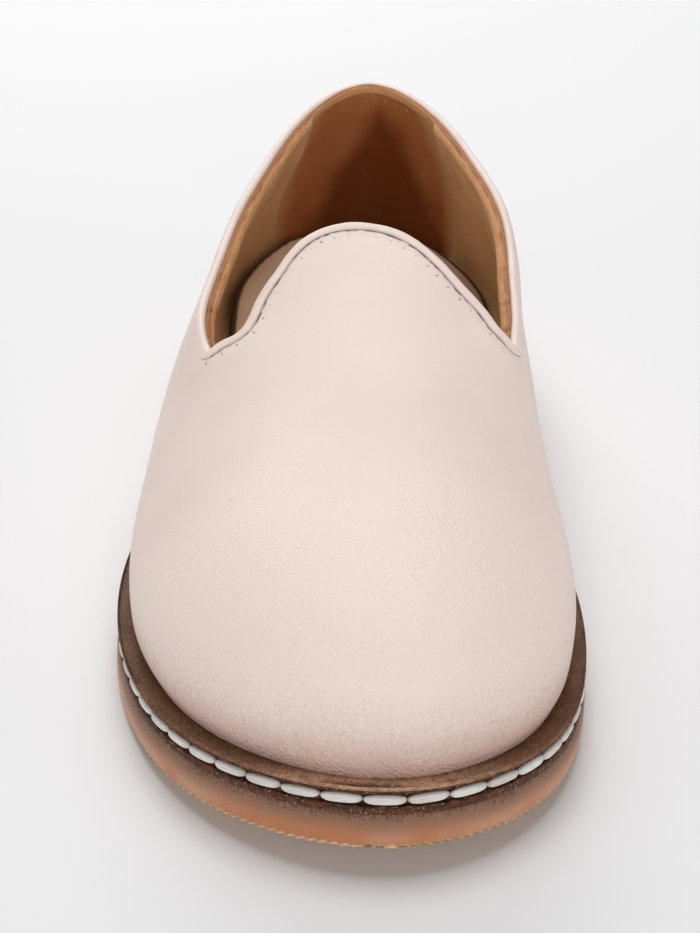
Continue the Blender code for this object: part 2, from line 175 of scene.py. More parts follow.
# Welt and its stitches
BOARD = 5.9 * MM
WELT_INSETS = (0.3 * MM, 0.6 * MM, 1.0 * MM)  # rows of faces inside its top edge
WELT_TOP_BAND = 0.5 * MM  # flat faces this near the board's height are its top
WELT_BEVEL = 0.28 * MM
WELT_SHARP = 50  # edges sharper than this angle get the bevel
WELT_SIDE = (0.2 * MM, 0.5 * MM)  # below the top, where it turns into the side
WELT_WAVE = 0.05 * MM
WELT_WAVE_SIZE = 3 * MM
CHANNEL_MIDDLE = 2.45 * MM  # below the welt's top
STITCH_PITCH = 8.0 * MM
STITCH_LENGTH = 7.9 * MM
STITCH_HEIGHT = 1.95 * MM
STITCH_DEPTH = 1.6 * MM
STITCH_SINK = 0.55 * MM  # how far the stitches' middle lies inside the sole's outline
STITCH_TILT = 2.0  # degrees
STITCH_TILT_SPREAD = 4.0
STITCH_SIZE_SPREAD = 0.12
STITCH_SEGMENTS = 14
STITCH_RINGS = 12
STITCH_STEPS = 8  # places along the edge for each stitch,
STITCH_REACH = 3  # of which so many on both sides give its direction
END_SPREAD = 0.85  # below one, a thread's rings gather at its ends
END_BLUNTNESS = 3.8
END_DIP = 0.18  # share of its depth by which each end dips in

# Rubber
RUBBER_REACH = 0.4 * MM  # how far the rubber reaches up into the board
RUBBER_FLARE = 0.7 * MM  # how far the rubber's foot reaches out on the lateral side
RUBBER_BULGE = 0.25 * MM
RUBBER_FOOT = 0.15 * MM  # how far its lowest edge is drawn in
RUBBER_CUTS = 6  # cuts through its height
SPRING_EASE = 0.07  # share of the toe spring that the rubber's foot fills
CUTS_PER_SEGMENT = 9  # edge pieces that each straight piece of the outline is cut into
UPRIGHT_EDGE = 0.01 * MM  # an edge that moves less than this in plan is upright
COLUMN_GAP = 0.02 * MM  # points nearer than this in plan are in one column
LOWEST, HIGHEST = 0.01, 0.99  # shares of the height that count as the lower and the upper edge
TOOTH = [1.0, 0.5, 0.0, 0.5]  # how deep a tooth's notch is, at the edge pieces that make it up
TOOTH_HEIGHT = 0.8 * MM
TOOTH_DEPTH = 0.3 * MM

# Studio: the lights' names, places, aims, diameters and watts
SKY = 0.17
LIGHTS = [
    ("overhead", (0.0, 0.10, 1.1), (0.0, 0.0, 0.0), 0.8, 5.9),
    ("back", (-0.15, 1.0, 0.65), (0.0, 0.0, 0.0), 0.9, 5.7),
    ("front_fill", (0.05, -1.25, 0.32), (0.0, 0.0, 0.03), 0.8, 3.8),
    ("left_fill", (-0.95, -0.65, 0.20), (0.0, 0.0, 0.03), 0.7, 2.6),
    ("right_fill", (0.95, -0.65, 0.20), (0.0, 0.0, 0.03), 0.7, 2.8),
]
FLOOR_SIZE = 6.0
IMAGE_HEIGHT = 933.0  # of the photograph, in pixels,
FOCAL_LENGTH = 2400.0  # and its focal length in the same
SENSOR = 36.0
CAMERA_SPOT = (0.005319, -0.478683, 0.2688)
CAMERA_DIP = 27.83  # below the horizon
CAMERA_TURN = 0.68


def paint(red, green, blue):
    """A colour as a paint chart gives it, turned into the light values that shaders take."""
    chart = np.array([red, green, blue]) / 255
    light = np.where(chart <= 0.04045, chart / 12.92, ((chart + 0.055) / 1.055) ** 2.4)
    return (*light.tolist(), 1.0)


PINK = paint(246, 227, 218)
PINK_DEEP = paint(241, 219, 209)
# warmer pink: painted shade just above the welt, and the toe's speckle
PINK_WARM = paint(214, 176, 160)
# paler pink on the toe: partly painted sheen, partly leather stretched over the last
PINK_PALE = paint(252, 232, 223)
# painted shade in the crease under the throat's roll
CREASE_SHADE = paint(70, 50, 44)
# painted shade in the pinholes
HOLE_SHADE = paint(124, 96, 84)
LINING_TAUPE = paint(220, 180, 134)
LINING_TAUPE_DARK = paint(196, 156, 112)
GRIP_BROWN = paint(192, 128, 80)
GRIP_BROWN_DARK = paint(174, 108, 62)
# painted shade in the hollow of the heel
GRIP_HOLLOW_SHADE = paint(110, 53, 8)
GRIP_THREAD = paint(220, 176, 134)
GRIP_THREAD_SHADE = paint(190, 142, 100)
RAW_TAN = paint(208, 154, 106)
RAW_TAN_DARK = paint(190, 132, 86)
RAW_TAN_RED = paint(164, 106, 66)
RAW_SEAM = paint(164, 86, 44)
RAW_PALE = paint(226, 182, 132)
SOCK_TAUPE = paint(255, 233, 207)
SOCK_TAUPE_DARK = paint(246, 218, 188)
# painted shade towards the insole's medial edge
SOCK_MEDIAL_SHADE = paint(150, 114, 84)
# painted shade in the gap between the insole and the lining
SOCK_CREVICE_SHADE = paint(48, 28, 16)
WELT_BROWN = paint(90, 57, 35)
WELT_RUST = paint(122, 83, 56)
# painted light: the welt's top is lighter at the toe
WELT_FRONT_LIGHT = paint(196, 154, 122)
# pale board: a line along the welt's edge, partly burnished and partly painted highlight, and pale specks
WELT_PALE = paint(176, 138, 110)
BOARD_DARK = paint(42, 20, 9)
BOARD_RUST = paint(102, 56, 30)
BOARD_BROWN = paint(84, 50, 30)
BOARD_DUST = paint(128, 92, 70)
BOARD_SPECK = paint(196, 176, 156)
THREAD = paint(252, 248, 242)
THREAD_SHADE = paint(222, 211, 198)
GUM_AMBER = paint(184, 120, 80)
GUM_PINK = paint(194, 143, 111)
GUM_GREY = paint(141, 103, 80)
# pale rubber: pale dust, and painted highlights on the teeth's tips
GUM_PALE = paint(226, 186, 142)
FLOOR = paint(249, 249, 250)
FLOOR_FIBRE = paint(246, 246, 247)


# Working on meshes

def only(piece):
    """Make a piece the only selected object and the active one."""
    bpy.ops.object.select_all(action="DESELECT")
    piece.select_set(True)
    bpy.context.view_layer.objects.active = piece


def read(items, name, width=1, kind=np.float32):
    """One property of all points, edges, faces or corners of a mesh."""
    flat = np.empty(width * len(items), kind)
    items.foreach_get(name, flat)
    return flat if width == 1 else flat.reshape(-1, width)


def start_edit(piece, faces=None, edges=None):
    """Open a piece in edit mode with the given faces or edges selected, or all of it."""
    only(piece)
    mesh = piece.data
    chosen = np.zeros(len(mesh.vertices), bool)
    lines = np.zeros(len(mesh.edges), bool)
    areas = np.zeros(len(mesh.polygons), bool)
    if edges is not None:
        lines[:] = edges
        chosen[read(mesh.edges, "vertices", 2, np.int32)[lines]] = True
    else:
        areas[:] = True if faces is None else faces
        inside = np.repeat(areas, read(mesh.polygons, "loop_total", 1, np.int32))
        for flags, name in ((chosen, "vertex_index"), (lines, "edge_index")):
            flags[read(mesh.loops, name, 1, np.int32)[inside]] = True
    mesh.vertices.foreach_set("select", chosen)
    mesh.edges.foreach_set("select", lines)
    mesh.polygons.foreach_set("select", areas)
    bpy.context.tool_settings.mesh_select_mode = (False, edges is not None, edges is None)
    bpy.ops.object.mode_set(mode="EDIT")


def end_edit():
    bpy.ops.object.mode_set(mode="OBJECT")


def apply_modifier(piece, kind, **settings):
    only(piece)
    modifier = piece.modifiers.new(kind.lower(), kind)
    for name, value in settings.items():
        setattr(modifier, name, value)
    bpy.ops.object.modifier_apply(modifier=modifier.name)


def subdivide(piece, levels):
    apply_modifier(piece, "SUBSURF", levels=levels, render_levels=levels)


def new_object(name, data):
    made = bpy.data.objects.new(name, data)
    bpy.context.scene.collection.objects.link(made)
    return made


def copy_of(node, name):
    """A copy of a CAD node with its triangles merged and joined into quads."""
    piece = new_object(name, NODES[node].data.copy())
    piece.data.materials.clear()
    only(piece)
    bpy.ops.mesh.customdata_custom_splitnormals_clear()
    start_edit(piece)
    bpy.ops.mesh.remove_doubles(threshold=WELD)
    bpy.ops.mesh.tris_convert_to_quads(face_threshold=pi, shape_threshold=pi)
    end_edit()
    return piece


def points_of(piece):
    return read(piece.data.vertices, "co", 3).astype(float)


def normals_of(piece):
    return read(piece.data.vertices, "normal", 3).astype(float)


def faces_of(piece):
    """Centres and normals of a piece's faces."""
    return [read(piece.data.polygons, name, 3).astype(float) for name in ("center", "normal")]


def place(piece, points):
    piece.data.vertices.foreach_set("co", points.astype(np.float32).ravel())
    piece.data.update()


def tree_of(mesh):
    """A search tree for the nearest place on a mesh."""
    corners = [point.co for point in mesh.vertices]
    return BVHTree.FromPolygons(corners, [tuple(polygon.vertices) for polygon in mesh.polygons])


def remember(piece, **kept):
    """Keep named values for each point, for the finish to read."""
    for name, values in kept.items():
        attribute = piece.data.attributes.new(name, "FLOAT", "POINT")
        attribute.data.foreach_set("value", np.asarray(values, np.float32))


def unit(vectors):
    return vectors / np.linalg.norm(vectors, axis=-1)[..., None]


def smooth_step(start, end, x):
    share = np.clip((x - start) / (end - start), 0, 1)
    return share * share * (3 - 2 * share)


def hump(x, spot, width):
    """A soft hump of height one."""
    return np.exp(-((x - spot) / width) ** 2)


def rough(points, size, seed=0.0):
    """Soft random heights between about -1 and 1, with hills of the given size."""
    return np.array([noise.noise(Vector(point / size) + Vector((seed, seed, seed))) for point in points])


def ripple(piece, waves):
    """Push a piece's points in and out by soft random waves."""
    points, normals = points_of(piece), normals_of(piece)
    lift = sum(height * MM * rough(points, size * MM, seed) for height, size, seed in waves)
    place(piece, points + normals * lift[:, None])


def round_line(line):
    """A closed line of points, started at the heel and run along the lateral side first."""
    line = np.roll(line, -np.argmax(line[:, 1]), axis=0)
    if line[1, 0] > line[-1, 0]:
        line = np.roll(line[::-1], 1, axis=0)
    return line


def by_angle(points):
    """The order of points round the middle, in plan."""
    return np.argsort(np.arctan2(points[:, 1], points[:, 0]))


def distances(line):
    """Distance along a closed line, with the whole length last."""
    steps = np.linalg.norm(np.roll(line, -1, axis=0) - line, axis=1)
    return np.concatenate([[0], np.cumsum(steps)])


def evenly(line, count, values=None):
    """A closed line, or values along it, at even distances."""
    at = distances(line)
    values = line if values is None else values
    wrapped = np.append(values, values[:1], axis=0)
    wanted = np.linspace(0, at[-1], count, endpoint=False)
    return np.stack([np.interp(wanted, at, column) for column in wrapped.T], axis=-1)


def open_edges(piece):
    """The rim and the foot of a sheet, as closed lines of point numbers, the higher line first."""
    work = bmesh.new()
    work.from_mesh(piece.data)
    left = {edge for edge in work.edges if edge.is_boundary}
    lines = []
    while left:
        edge = min(left, key=lambda edge: edge.index)
        left.remove(edge)
        start, here = edge.verts
        line = [start]
        while here is not start:
            line.append(here)
            edge = next(other for other in here.link_edges if other in left)
            left.remove(edge)
            here = edge.other_vert(here)
        lines.append(line)
    lines.sort(key=lambda line: -np.mean([point.co.z for point in line]))
    lines = [[point.index for point in line] for line in lines]
    work.free()
    return lines


def nearest_on(line, points):
    """Distance from each point to a closed line, and how far along the line that is."""
    tree = KDTree(len(line))
    for number, point in enumerate(line):
        tree.insert(point, number)
    tree.balance()
    along = distances(line)
    found = [tree.find(point) for point in points]
    return np.array([hit[2] for hit in found]), np.array([along[hit[1]] for hit in found])


def dress(piece, angle, finish, slot, *replaced):
    """Shade a piece smooth, and give it its finish and the nodes that it stands for. Its slot is not used."""
    only(piece)
    bpy.ops.object.shade_smooth_by_angle(angle=radians(angle))
    piece.data.materials.clear()
    piece.data.materials.append(finish)
    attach(piece, "root")
    if replaced:
        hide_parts(*replaced)


# Finishes

def operator(operation, swapped=False):
    """What one of Python's operators does between a signal and a number or another signal."""
    def combine(self, other=0.0):
        first, second = (other, self) if swapped else (self, other)
        return self.finish.node("Math", {"operation": operation}, {0: first, 1: second})
    return combine


class Signal:
    """One output of a finish's nodes, so that shader maths reads as an expression."""

    def __init__(self, finish, socket):
        self.finish = finish
        self.socket = socket

    __add__ = __radd__ = operator("ADD")
    __sub__ = operator("SUBTRACT")
    __rsub__ = operator("SUBTRACT", swapped=True)
    __mul__ = __rmul__ = operator("MULTIPLY")
    __truediv__ = operator("DIVIDE")
    __mod__ = operator("FLOORED_MODULO")
    __pow__ = operator("POWER")
    __abs__ = operator("ABSOLUTE")


class Finish:
    """A material under construction."""

    def __init__(self, name, specular, more=None):
        self.material = bpy.data.materials.new(name)
        self.material.use_nodes = True
        self.tree = self.material.node_tree
        self.shader = self.tree.nodes["Principled BSDF"]
        for socket, value in {"Specular IOR Level": specular, **(more or {})}.items():
            self.shader.inputs[socket].default_value = value
        self.spot = self.node("TexCoord", {}, {}, "Object")

    def node(self, kind, settings, inputs, output=0):
        made = self.tree.nodes.new("ShaderNode" + kind)
        for name, value in settings.items():
            setattr(made, name, value)
        for name, value in inputs.items():
            self.feed(made.inputs[name], value)
        return Signal(self, made.outputs[output])

    def feed(self, socket, value):
        if isinstance(value, Signal):
            self.tree.links.new(value.socket, socket)
        else:
            socket.default_value = value

    def stretched(self, place, x, y, z):
        return self.node("VectorMath", {"operation": "MULTIPLY"}, {0: place, 1: (x, y, z)})

    def clouds(self, scale, detail, place=None):
        inputs = {"Vector": place or self.spot, "Scale": scale, "Detail": detail}
        return self.node("TexNoise", {}, inputs, "Fac")

    def cells(self, scale):
        return self.node("TexVoronoi", {}, {"Vector": self.spot, "Scale": scale}, "Distance")

    def axis(self, name):
        return self.node("SeparateXYZ", {}, {0: self.spot}, name)

    def kept(self, name):
        """A value that the piece keeps for each point."""
        return self.node("Attribute", {"attribute_name": name}, {}, "Fac")

    def ramp(self, value, start, end):
        inputs = {0: value, 1: start, 2: end}
        return self.node("MapRange", {"interpolation_type": "SMOOTHSTEP"}, inputs)

    def blend(self, share, first, second):
        return self.node("Mix", {"data_type": "RGBA"}, {0: share, 6: first, 7: second}, 2)

    def coated(self, colour, *coats):
        """A colour with others laid over it, each as far as its share says."""
        for share, coat in coats:
            colour = self.blend(share, colour, coat)
        return colour

    def finished(self, colour, roughness, height=None, depth=0.0):
        """The material, with its colour, its roughness and any bumps joined up."""
        joined = {"Base Color": colour, "Roughness": roughness}
        if height is not None:
            joined["Normal"] = self.node("Bump", {}, {"Height": height, "Distance": depth, "Strength": 1.0})
        for name, value in joined.items():
            self.feed(self.shader.inputs[name], value)
        return self.material


def leather_grain(leather, toe_share, low_share):
    """Fine pebbles that stand out most near the toe, and there most of all just above the welt."""
    pebbles = leather.cells(1450.0)
    pores = leather.clouds(1000.0, 3.0)
    share = toe_share * (low_share * 1.5 + 0.75)
    return pebbles * (share * 0.95 + 0.2) + pores * (share * 0.9 + 0.3)


def throat_crease_shade(leather, gap, throat):
    """The broken line under the throat's roll: a groove in the bump, and painted shade in the colour."""
    wobble = leather.ramp(leather.clouds(700.0, 2.0), 0.35, 0.65)
    crease = 1.0 - leather.ramp(gap - wobble * 0.35 * MM, 0.32 * MM, 0.56 * MM)
    return crease * throat * (leather.ramp(leather.clouds(300.0, 2.0), 0.36, 0.60) * 0.45 + 0.55)


def pinholes(leather, gap, run, throat):
    """A row of small holes along the throat, some of them nearly closed; their dark colour is painted shade.
    """
    spot = run + leather.clouds(240.0, 1.0) * 1.4 * MM
    beside = (spot % HOLE_PITCH) - HOLE_PITCH / 2
    below = gap - HOLE_ROW + (leather.clouds(190.0, 1.0) - 0.5) * 0.9 * MM
    reach = (beside * beside + below * below * 0.3) ** 0.5
    hole = (1.0 - leather.ramp(reach, HOLE_RADIUS * 0.5, HOLE_RADIUS * 1.3)) * throat
    return hole * (leather.ramp(leather.clouds(160.0, 1.0), 0.40, 0.70) * 0.75 + 0.25)


def pink_leather():
    leather = Finish("pink_leather", 0.42, {"Coat Weight": 0.04, "Coat Roughness": 0.35})
    toe_share = leather.ramp(leather.axis("Y"), -35 * MM, -105 * MM)
    gap, run = leather.kept("rim_gap"), leather.kept("rim_run")
    rise, throat = leather.kept("foot_rise"), leather.kept("throat")
    low_share = 1.0 - leather.ramp(rise, 4 * MM, 18 * MM)
    grain = leather_grain(leather, toe_share, low_share)
    crease = throat_crease_shade(leather, gap, throat)
    hole = pinholes(leather, gap, run, throat)
    drift = leather.ramp(leather.clouds(26.0, 3.0), 0.35, 0.7)
    speckle = leather.ramp(leather.clouds(1500.0, 2.0), 0.50, 0.72)
    colour = leather.coated(
        leather.blend(drift, PINK, PINK_DEEP),
        # painted shade: darker, warmer pink just above the welt, where the leather tucks in
        ((1.0 - leather.ramp(rise, 0.0, 11 * MM)) * 0.8, PINK_WARM),
        (speckle * toe_share * (low_share * 0.12 + 0.06), PINK_WARM),
        # a paler toe: partly painted sheen, partly leather stretched paler over the last
        (toe_share * leather.ramp(rise, 4 * MM, 20 * MM) * 0.85, PINK_PALE),
        # painted shade in the crease under the roll
        (crease * 0.9, CREASE_SHADE),
        # painted shade in the pinholes
        (hole * 0.8, HOLE_SHADE),
    )
    roughness = leather.clouds(90.0, 3.0) * 0.14 + grain * 0.08 + 0.38
    return leather.finished(colour, roughness, grain - hole - crease * 1.5, 0.17 * MM)


def roll_leather():
    leather = Finish("collar_roll_leather", 0.42)
    grain = leather.cells(1500.0) * 0.4 + leather.clouds(2600.0, 3.0) * 0.4
    drift = leather.ramp(leather.clouds(60.0, 3.0), 0.35, 0.7)
    colour = leather.blend(drift, PINK, PINK_DEEP)
    roughness = leather.clouds(120.0, 3.0) * 0.14 + 0.42
    return leather.finished(colour, roughness, grain + leather.clouds(320.0, 2.0) * 3.0, 0.04 * MM)


def napped_leather(name, pale, dark, roughness, shade_and_tone=None):
    """Soft unfinished leather with a short nap, and the painted shade and other tone of its place in the
    shoe.
    """
    hide = Finish(name, 0.25)
    nap = hide.clouds(1700.0, 4.0)
    drift = hide.clouds(55.0, 4.0)
    colour = hide.blend(hide.ramp(drift * 0.7 + nap * 0.3, 0.32, 0.68), dark, pale)
    if shade_and_tone:
        colour = shade_and_tone(hide, drift, colour)
    return hide.finished(colour, nap * 0.2 + roughness, nap + hide.clouds(240.0, 3.0), 0.06 * MM)


def grip_shade_and_tone(hide, drift, colour):
    """Painted shade in the hollow of the heel, and more like the lining at the front."""
    spread = (HOLLOW_SHADE_TOP - hide.axis("Z")) * HOLLOW_SHADE_SLOPE
    beside = abs(hide.axis("X") - HOLLOW_SHADE_MIDDLE) - spread + (drift - 0.5) * 6 * MM
    # painted shade in the heel's hollow, wider the lower it is
    hollow = 1.0 - hide.ramp(beside, -4 * MM, 5 * MM)
    front = hide.ramp(hide.axis("Y"), GRIP_FRONT + 9 * MM, GRIP_FRONT + 2 * MM)
    return hide.coated(colour, (hollow * 0.85, GRIP_HOLLOW_SHADE), (front, LINING_TAUPE_DARK))


def sock_painted_shade(hide, drift, colour):
    """Painted shade towards the medial edge, and along the gap to the lining."""
    # painted shade on the medial side
    medial = hide.ramp(hide.axis("X") + (drift - 0.5) * 10 * MM, 12 * MM, 32 * MM)
    # painted shade in the gap to the lining
    gap = 1.0 - hide.ramp(hide.kept("inset") + (drift - 0.5) * MM, *SOCK_GAP)
    return hide.coated(colour, (medial * 0.7, SOCK_MEDIAL_SHADE), (gap * 0.9, SOCK_CREVICE_SHADE))


def raw_edge_leather():
    """Cut leather: a paler inner layer, a dark line where the layers meet, then a rougher tan layer."""
    edge = Finish("raw_edge_leather", 0.3)
    across, run = edge.kept("across"), edge.kept("run")
    laid = edge.node("CombineXYZ", {}, {0: across * 1.1, 1: run / (6 * MM)})
    layers = edge.clouds(1.0, 4.0, laid)
    fibres = edge.clouds(1100.0, 4.0)
    patches = edge.clouds(120.0, 2.0)
    seam = 1.0 - edge.ramp(abs(across + 3.1 + (layers - 0.5) * 1.2), 0.06, 0.34)
    colour = edge.coated(
        edge.blend(edge.ramp(layers * 0.6 + fibres * 0.4, 0.36, 0.62), RAW_TAN_DARK, RAW_TAN),
        (edge.ramp(across + (patches - 0.5) * 0.8, -3.2, -2.4) * 0.8, RAW_TAN_RED),
        ((1.0 - edge.ramp(across, -4.5, -4.0)) * 0.7, RAW_PALE),
        (seam * edge.ramp(patches, 0.40, 0.60) * 0.8, RAW_SEAM),
    )
    return edge.finished(colour, fibres * 0.25 + 0.55, fibres * 0.6 + layers - seam * 0.6, 0.10 * MM)


def board_leather():
    """Dark board: smooth, lighter at the toe by painted light, with a paler line along the top edge that is
    partly burnished and partly painted highlight; fibrous and rusty at the side.
    """
    board = Finish("welt_board", 0.3)
    fibres = board.clouds(700.0, 5.0, board.stretched(board.spot, 1.0, 1.0, 1.6))
    specks = board.clouds(1900.0, 3.0)
    patches = board.clouds(110.0, 3.0)
    side, reach, drop = board.kept("side"), board.kept("reach"), board.kept("drop")
    band = 1.0 - board.ramp(reach + (fibres - 0.5) * 2 * MM, 0.2 * MM, 0.8 * MM)
    ahead = board.axis("Y") + abs(board.axis("X") - 8 * MM) * 0.3
    front = board.ramp(ahead, -108 * MM, -124 * MM)
    speckle = board.ramp(fibres * 0.6 + patches * 0.4, 0.36, 0.60)
    stretches = board.ramp(board.clouds(48.0, 2.0), 0.46, 0.60)
    top = board.coated(
        board.blend(board.ramp(patches * 0.4 + fibres * 0.6, 0.34, 0.66), WELT_BROWN, WELT_RUST),
        # painted light: the welt's top is lighter at the toe
        (front * (speckle * 0.6 + 0.4), WELT_FRONT_LIGHT),
        # paler line along the top edge: partly burnished, partly painted highlight, strongest at the toe
        (band * speckle * stretches * (front * 0.5 + 0.3), WELT_PALE),
        (board.ramp(specks, 0.46, 0.34) * 0.6, BOARD_DARK),
        (board.ramp(specks, 0.58, 0.72) * 0.4, WELT_PALE),
    )
    rust = board.blend(board.ramp(fibres, 0.36, 0.64), BOARD_DARK, BOARD_RUST)
    worn = board.blend(board.ramp(fibres * 0.5 + specks * 0.5, 0.47, 0.68), BOARD_BROWN, BOARD_DUST)
    low = board.ramp(drop + (patches - 0.5) * 2.5 * MM, 3.8 * MM, 5.8 * MM)
    flank = board.coated(rust, (low, worn), (board.ramp(specks, 0.61, 0.72) * 0.75, BOARD_SPECK))
    bumps = fibres * (side * 0.9 + 0.7) + specks * (side * 0.7 + 0.3)
    return board.finished(board.blend(side, top, flank), fibres * 0.25 + side * 0.1 + 0.5, bumps, 0.17 * MM)


def waxed_thread(name, pale, shade):
    thread = Finish(name, 0.35)
    wrap = thread.node("UVMap", {}, {})
    strands = thread.clouds(7.0, 4.0, thread.stretched(wrap, 6.0, 0.5, 1.0))
    lots = thread.clouds(85.0, 1.0)
    colour = thread.blend(thread.ramp(strands * 0.6 + lots * 0.4, 0.34, 0.58), shade, pale)
    return thread.finished(colour, strands * 0.2 + 0.55, strands, 0.28 * MM)


def gum_rubber():
    """Amber rubber that is greyer and duller towards its top, with painted highlights on its teeth's tips."""
    gum = Finish("gum_rubber", 0.4, {
        "Subsurface Weight": 0.12, "Subsurface Radius": (1.0, 0.45, 0.2), "Subsurface Scale": 2.5 * MM,
    })
    share = gum.kept("share")
    patches = gum.clouds(95.0, 4.0)
    dust = gum.clouds(1300.0, 4.0)
    soil = gum.clouds(2300.0, 5.0)
    edge = share + (patches - 0.5) * 0.35
    dull = gum.ramp(edge, 0.3, 0.8)
    soiled = gum.ramp(share + (soil - 0.5) * 0.7 + (patches - 0.5) * 0.25, 0.86, 1.06)
    colour = gum.coated(
        gum.blend(gum.ramp(patches + abs(gum.axis("X")) * 6.0, 0.45, 0.75), GUM_AMBER, GUM_PINK),
        (gum.ramp(edge, 0.30, 0.92), GUM_GREY),
        # painted highlight on the teeth's tips
        ((1.0 - gum.ramp(share, 0.01, 0.08)) * 0.9, GUM_PALE),
        (gum.ramp(dust, 0.55, 0.75) * 0.10, GUM_PALE),
        (soiled * 0.8, BOARD_BROWN),
    )
    return gum.finished(colour, dull * 0.2 + dust * 0.15 + 0.30, dust * (dull + 0.3), 0.07 * MM)


# The rim of the upper, and places along it

def collar_frame(sheet):
    """The rim of the outer leather: its line, the directions out of the wall and up, and its marks."""
    rim = open_edges(sheet)[0]
    both = round_line(np.column_stack([points_of(sheet)[rim], normals_of(sheet)[rim]]))
    both = evenly(both[:, :3], len(both), both)
    line, normals = both[:, :3], both[:, 3:]
    tangent = unit(np.roll(line, -1, axis=0) - np.roll(line, 1, axis=0))
    outward = unit(normals - tangent * np.sum(normals * tangent, axis=1)[:, None])
    upward = np.cross(outward, tangent)
    upward = upward * np.sign(upward[:, 2].mean())
    run = distances(line)
    lateral = line[:, 0] < AXIS_X
    return {
        "line": line, "fine": evenly(line, FINE_POINTS), "outward": outward, "upward": upward,
        "run": run[:-1], "length": run[-1],
        "lateral_corner": run[np.argmin(np.where(lateral, line[:, 1], 1.0))],
        "medial_corner": run[np.argmin(np.where(lateral, 1.0, line[:, 1]))],
    }


def at_run(collar, values, run):
    """Values that belong to the collar's line, at other places along it."""
    return np.column_stack([np.interp(run, collar["run"], column) for column in values.T])


def throat_share(run, collar):
    """One along the throat, falling to nothing past its corners."""
    before = smooth_step(collar["lateral_corner"] - THROAT_FADE, collar["lateral_corner"], run)
    return before * (1 - smooth_step(collar["medial_corner"], collar["medial_corner"] + THROAT_FADE, run))


def from_heel(run, collar, shift=0.0):
    """Distance along the collar from the back of the heel, or from a place shifted to the medial side."""
    return np.minimum(run + shift, collar["length"] - run - shift)


def heel_share(run, collar):
    """One at the back of the heel, falling to nothing along the sides."""
    return 1 - smooth_step(*HEEL_STEP, from_heel(run, collar, HEEL_SHIFT))


def past_corners(run, collar):
    """Distance from the lateral and from the medial corner towards the throat."""
    return run - collar["lateral_corner"], collar["medial_corner"] - run


# The upper: outer leather and lining, each from one side of the wall

def from_axis(points):
    axis = np.column_stack([
        np.full(len(points), AXIS_X),
        np.clip(points[:, 1], AXIS_FRONT, AXIS_BACK),
        np.full(len(points), AXIS_LEVEL),
    ])
    return points - axis


def wall_sheet(name, outside):
    """The outer or the inner skin of the wall, open at the rim and the foot."""
    piece = copy_of("upper", name)
    centres, normals = faces_of(piece)
    outward = np.sum(normals * from_axis(centres), axis=1) > 0
    binding = tree_of(NODES["collar_binding"].data)
    rim = np.array([binding.find_nearest(Vector(centre))[3] for centre in centres]) < RIM_BAND
    foot = outward & (normals[:, 2] < FOOT_FACING)
    kept = (outward == outside) & ~rim & ~foot
    start_edit(piece, faces=~kept)
    bpy.ops.mesh.delete(type="FACE")
    end_edit()
    refine_rim(piece)
    subdivide(piece, 2)
    return piece


def refine_rim(sheet):
    """Cut the row of faces along the rim into narrower ones."""
    on_rim = np.zeros(len(sheet.data.vertices), int)
    on_rim[open_edges(sheet)[0]] = 1
    ends = read(sheet.data.edges, "vertices", 2, np.int32)
    start_edit(sheet, edges=on_rim[ends].sum(axis=1) == 1)
    bpy.ops.mesh.subdivide(number_cuts=RIM_CUTS)
    end_edit()


def reshape_rim(sheet, collar):
    """Raise the wall along the throat, cut it down where the bell flares, and lean its corners out."""
    points = points_of(sheet)
    gap, run = nearest_on(collar["fine"], points)
    lift = RIM_RAISE * throat_share(run, collar)
    push = np.zeros(len(points))
    for past, flare in zip(past_corners(run, collar), (LATERAL_FLARE, MEDIAL_FLARE)):
        push += CORNER_PUSH * hump(past, CORNER_PUSH_SPOT, CORNER_PUSH_WIDTH)
        for spot, width, depth in flare:
            lift -= depth * MM * hump(past, spot * MM, width * MM)
    upward, outward = (at_run(collar, collar[name], run) for name in ("upward", "outward"))
    fade = 1 - smooth_step(0, RIM_REACH, gap)
    place(sheet, points + (upward * lift[:, None] + outward * push[:, None]) * fade[:, None])


def cut_seams(sheet):
    """Cut the sheet along both sides of the seam, so that its step stays crisp."""
    for shift in (0.0, SEAM_WIDTH):
        start_edit(sheet)
        bpy.ops.mesh.bisect(plane_co=(0.0, SEAM_Y + shift, SEAM_LEVEL), plane_no=(0.0, 1.0, -SEAM_SLANT))
        end_edit()


def corner_puckers(gap, run, collar):
    """How far the leather under the throat's corners is drawn in."""
    inward = np.zeros(len(gap))
    for past in past_corners(run, collar):
        for spot, length, width, depth in PUCKERS:
            shallower = smooth_step(PUCKER_FADE * length * MM, length * MM, gap)
            inward += depth * MM * hump(past, spot * MM, width * MM) * (1 - shallower)
        ridge = hump(gap, CORNER_RIDGE_GAP, CORNER_RIDGE_HEIGHT)
        inward -= CORNER_RIDGE * ridge * hump(past, CORNER_RIDGE_SPOT, CORNER_RIDGE_LENGTH)
    return inward


